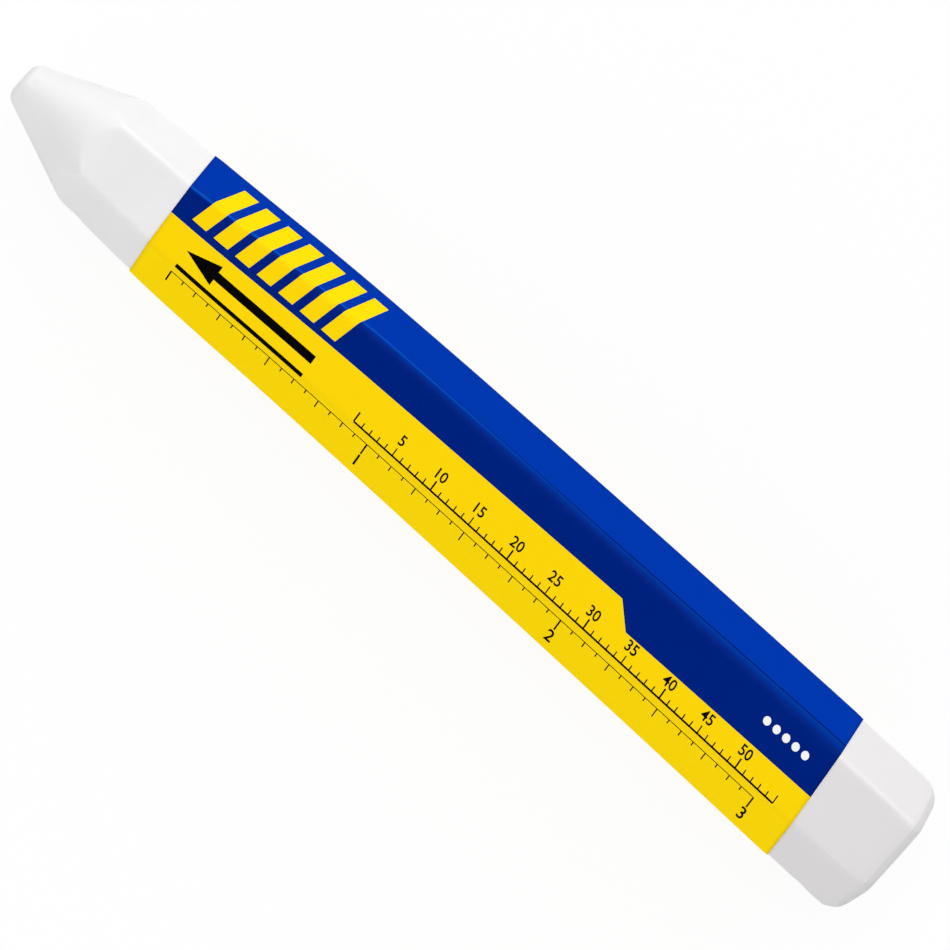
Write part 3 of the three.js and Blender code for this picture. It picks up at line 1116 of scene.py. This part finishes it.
white_floor, tree, output = new_material("white_floor")
seen = add_node(tree, "LightPath").outputs["Is Camera Ray"]
lit = add_node(tree, "BsdfDiffuse", {"Color": linear("#e1e1e1")})
dimmed = add_node(tree, "BsdfDiffuse", {"Color": linear("#535353")})
glow = add_node(tree, "Emission", {"Color": linear("#ffffff"), "Strength": FLOOR_GLOW})
shown = add_node(tree, "AddShader", {0: dimmed.outputs[0], 1: glow.outputs[0]})
choice = add_node(tree, "MixShader", {0: seen, 1: lit.outputs[0], 2: shown.outputs[0]})
tree.links.new(choice.outputs[0], output.inputs["Surface"])
floor.data.materials.append(white_floor)
print(f"floor {FLOOR_DROP} mm under the crayon")

# %% [markdown]
# Soft light comes from all round. The room is brighter along the crayon's two sides than at its
# ends, and most of all on the blue side. Its light is SKY_LIGHT, and more by the direction times
# SKY_SLOPE and by the squares of the direction times SKY_SIDES. What the wax mirrors is brighter
# still on the blue side and dark on the other, by SHINE_SLOPE, which draws a light line along
# the wax's upper edge. The camera itself sees a plain white room.

# %% Light the room
SKY_LIGHT = 0.73
SKY_SLOPE = (0, 0.26, 0)
SKY_SIDES = (-0.6, 1.335, 0)
SHINE_SLOPE = (0, 3.2, 0)

world = bpy.data.worlds.new("studio")
world.use_nodes = True
bpy.context.scene.world = world
tree = world.node_tree
tree.nodes.clear()
path = add_node(tree, "LightPath")
either = add_node(
    tree,
    "Math",
    {0: path.outputs["Is Camera Ray"], 1: path.outputs["Is Glossy Ray"]},
    operation="MAXIMUM",
)
any_seen = add_node(
    tree,
    "Math",
    {0: either.outputs[0], 1: path.outputs["Is Transmission Ray"]},
    operation="MAXIMUM",
)
towards = add_node(tree, "TexCoord").outputs["Generated"]
squares = add_node(tree, "VectorMath", {0: towards, 1: towards}, operation="MULTIPLY").outputs[0]
slope = add_node(tree, "VectorMath", {0: towards, 1: SKY_SLOPE}, operation="DOT_PRODUCT")
sides = add_node(tree, "VectorMath", {0: squares, 1: SKY_SIDES}, operation="DOT_PRODUCT")
uneven = add_node(
    tree, "Math", {0: slope.outputs["Value"], 1: sides.outputs["Value"]}, operation="ADD"
)
sky = add_node(tree, "Math", {0: uneven.outputs[0], 1: SKY_LIGHT}, operation="ADD")
soft = add_node(tree, "Background", {"Color": linear("#ffffff"), "Strength": sky.outputs[0]})
shine = add_node(tree, "VectorMath", {0: towards, 1: SHINE_SLOPE}, operation="DOT_PRODUCT")
mirrored = add_node(
    tree,
    "Math",
    {0: shine.outputs["Value"], 1: path.outputs["Is Glossy Ray"]},
    operation="MULTIPLY",
)
brighter = add_node(tree, "Math", {0: mirrored.outputs[0], 1: 1}, operation="ADD")
not_dark = add_node(tree, "Math", {0: brighter.outputs[0], 1: 0}, operation="MAXIMUM")
white_room = add_node(
    tree, "Background", {"Color": linear("#ffffff"), "Strength": not_dark.outputs[0]}
)
choice = add_node(
    tree,
    "MixShader",
    {0: any_seen.outputs[0], 1: soft.outputs[0], 2: white_room.outputs[0]},
)
add_node(tree, "OutputWorld", {"Surface": choice.outputs[0]})
print(f"{world.name}: {len(tree.nodes)} nodes")

# %% [markdown]
# One broad lamp hangs above the front half, and it is aimed at the middle of the crayon's
# underside. Its shadow is soft, because it is twice as wide as the crayon is long. The colours
# are shown by the Standard view, so that each looks about as it is written.

# %% Hang the lamp
LAMP_PLACE, LAMP_SIZE, LAMP_POWER = (-90, 100, 420), 240, 0.2

light = bpy.data.lights.new("lamp", "AREA")
light.shape = "DISK"
light.size = LAMP_SIZE * MM
light.energy = LAMP_POWER
lamp = bpy.data.objects.new("lamp", light)
bpy.context.scene.collection.objects.link(lamp)
place = Vector(LAMP_PLACE) * MM
aim = place.to_track_quat("Z", "Y").to_matrix().to_4x4()
lamp.matrix_world = Matrix.Translation(place) @ aim
print(f"lamp of {LAMP_POWER} W, {LAMP_SIZE} mm wide, {place.length / MM:.0f} mm away")

bpy.context.scene.view_settings.view_transform = "Standard"

# %% [markdown]
# ## Finish
# The dressed model has to stay inside the CAD's box. Last, the view layer is brought up to date.

# %% Finish
bpy.context.view_layer.update()
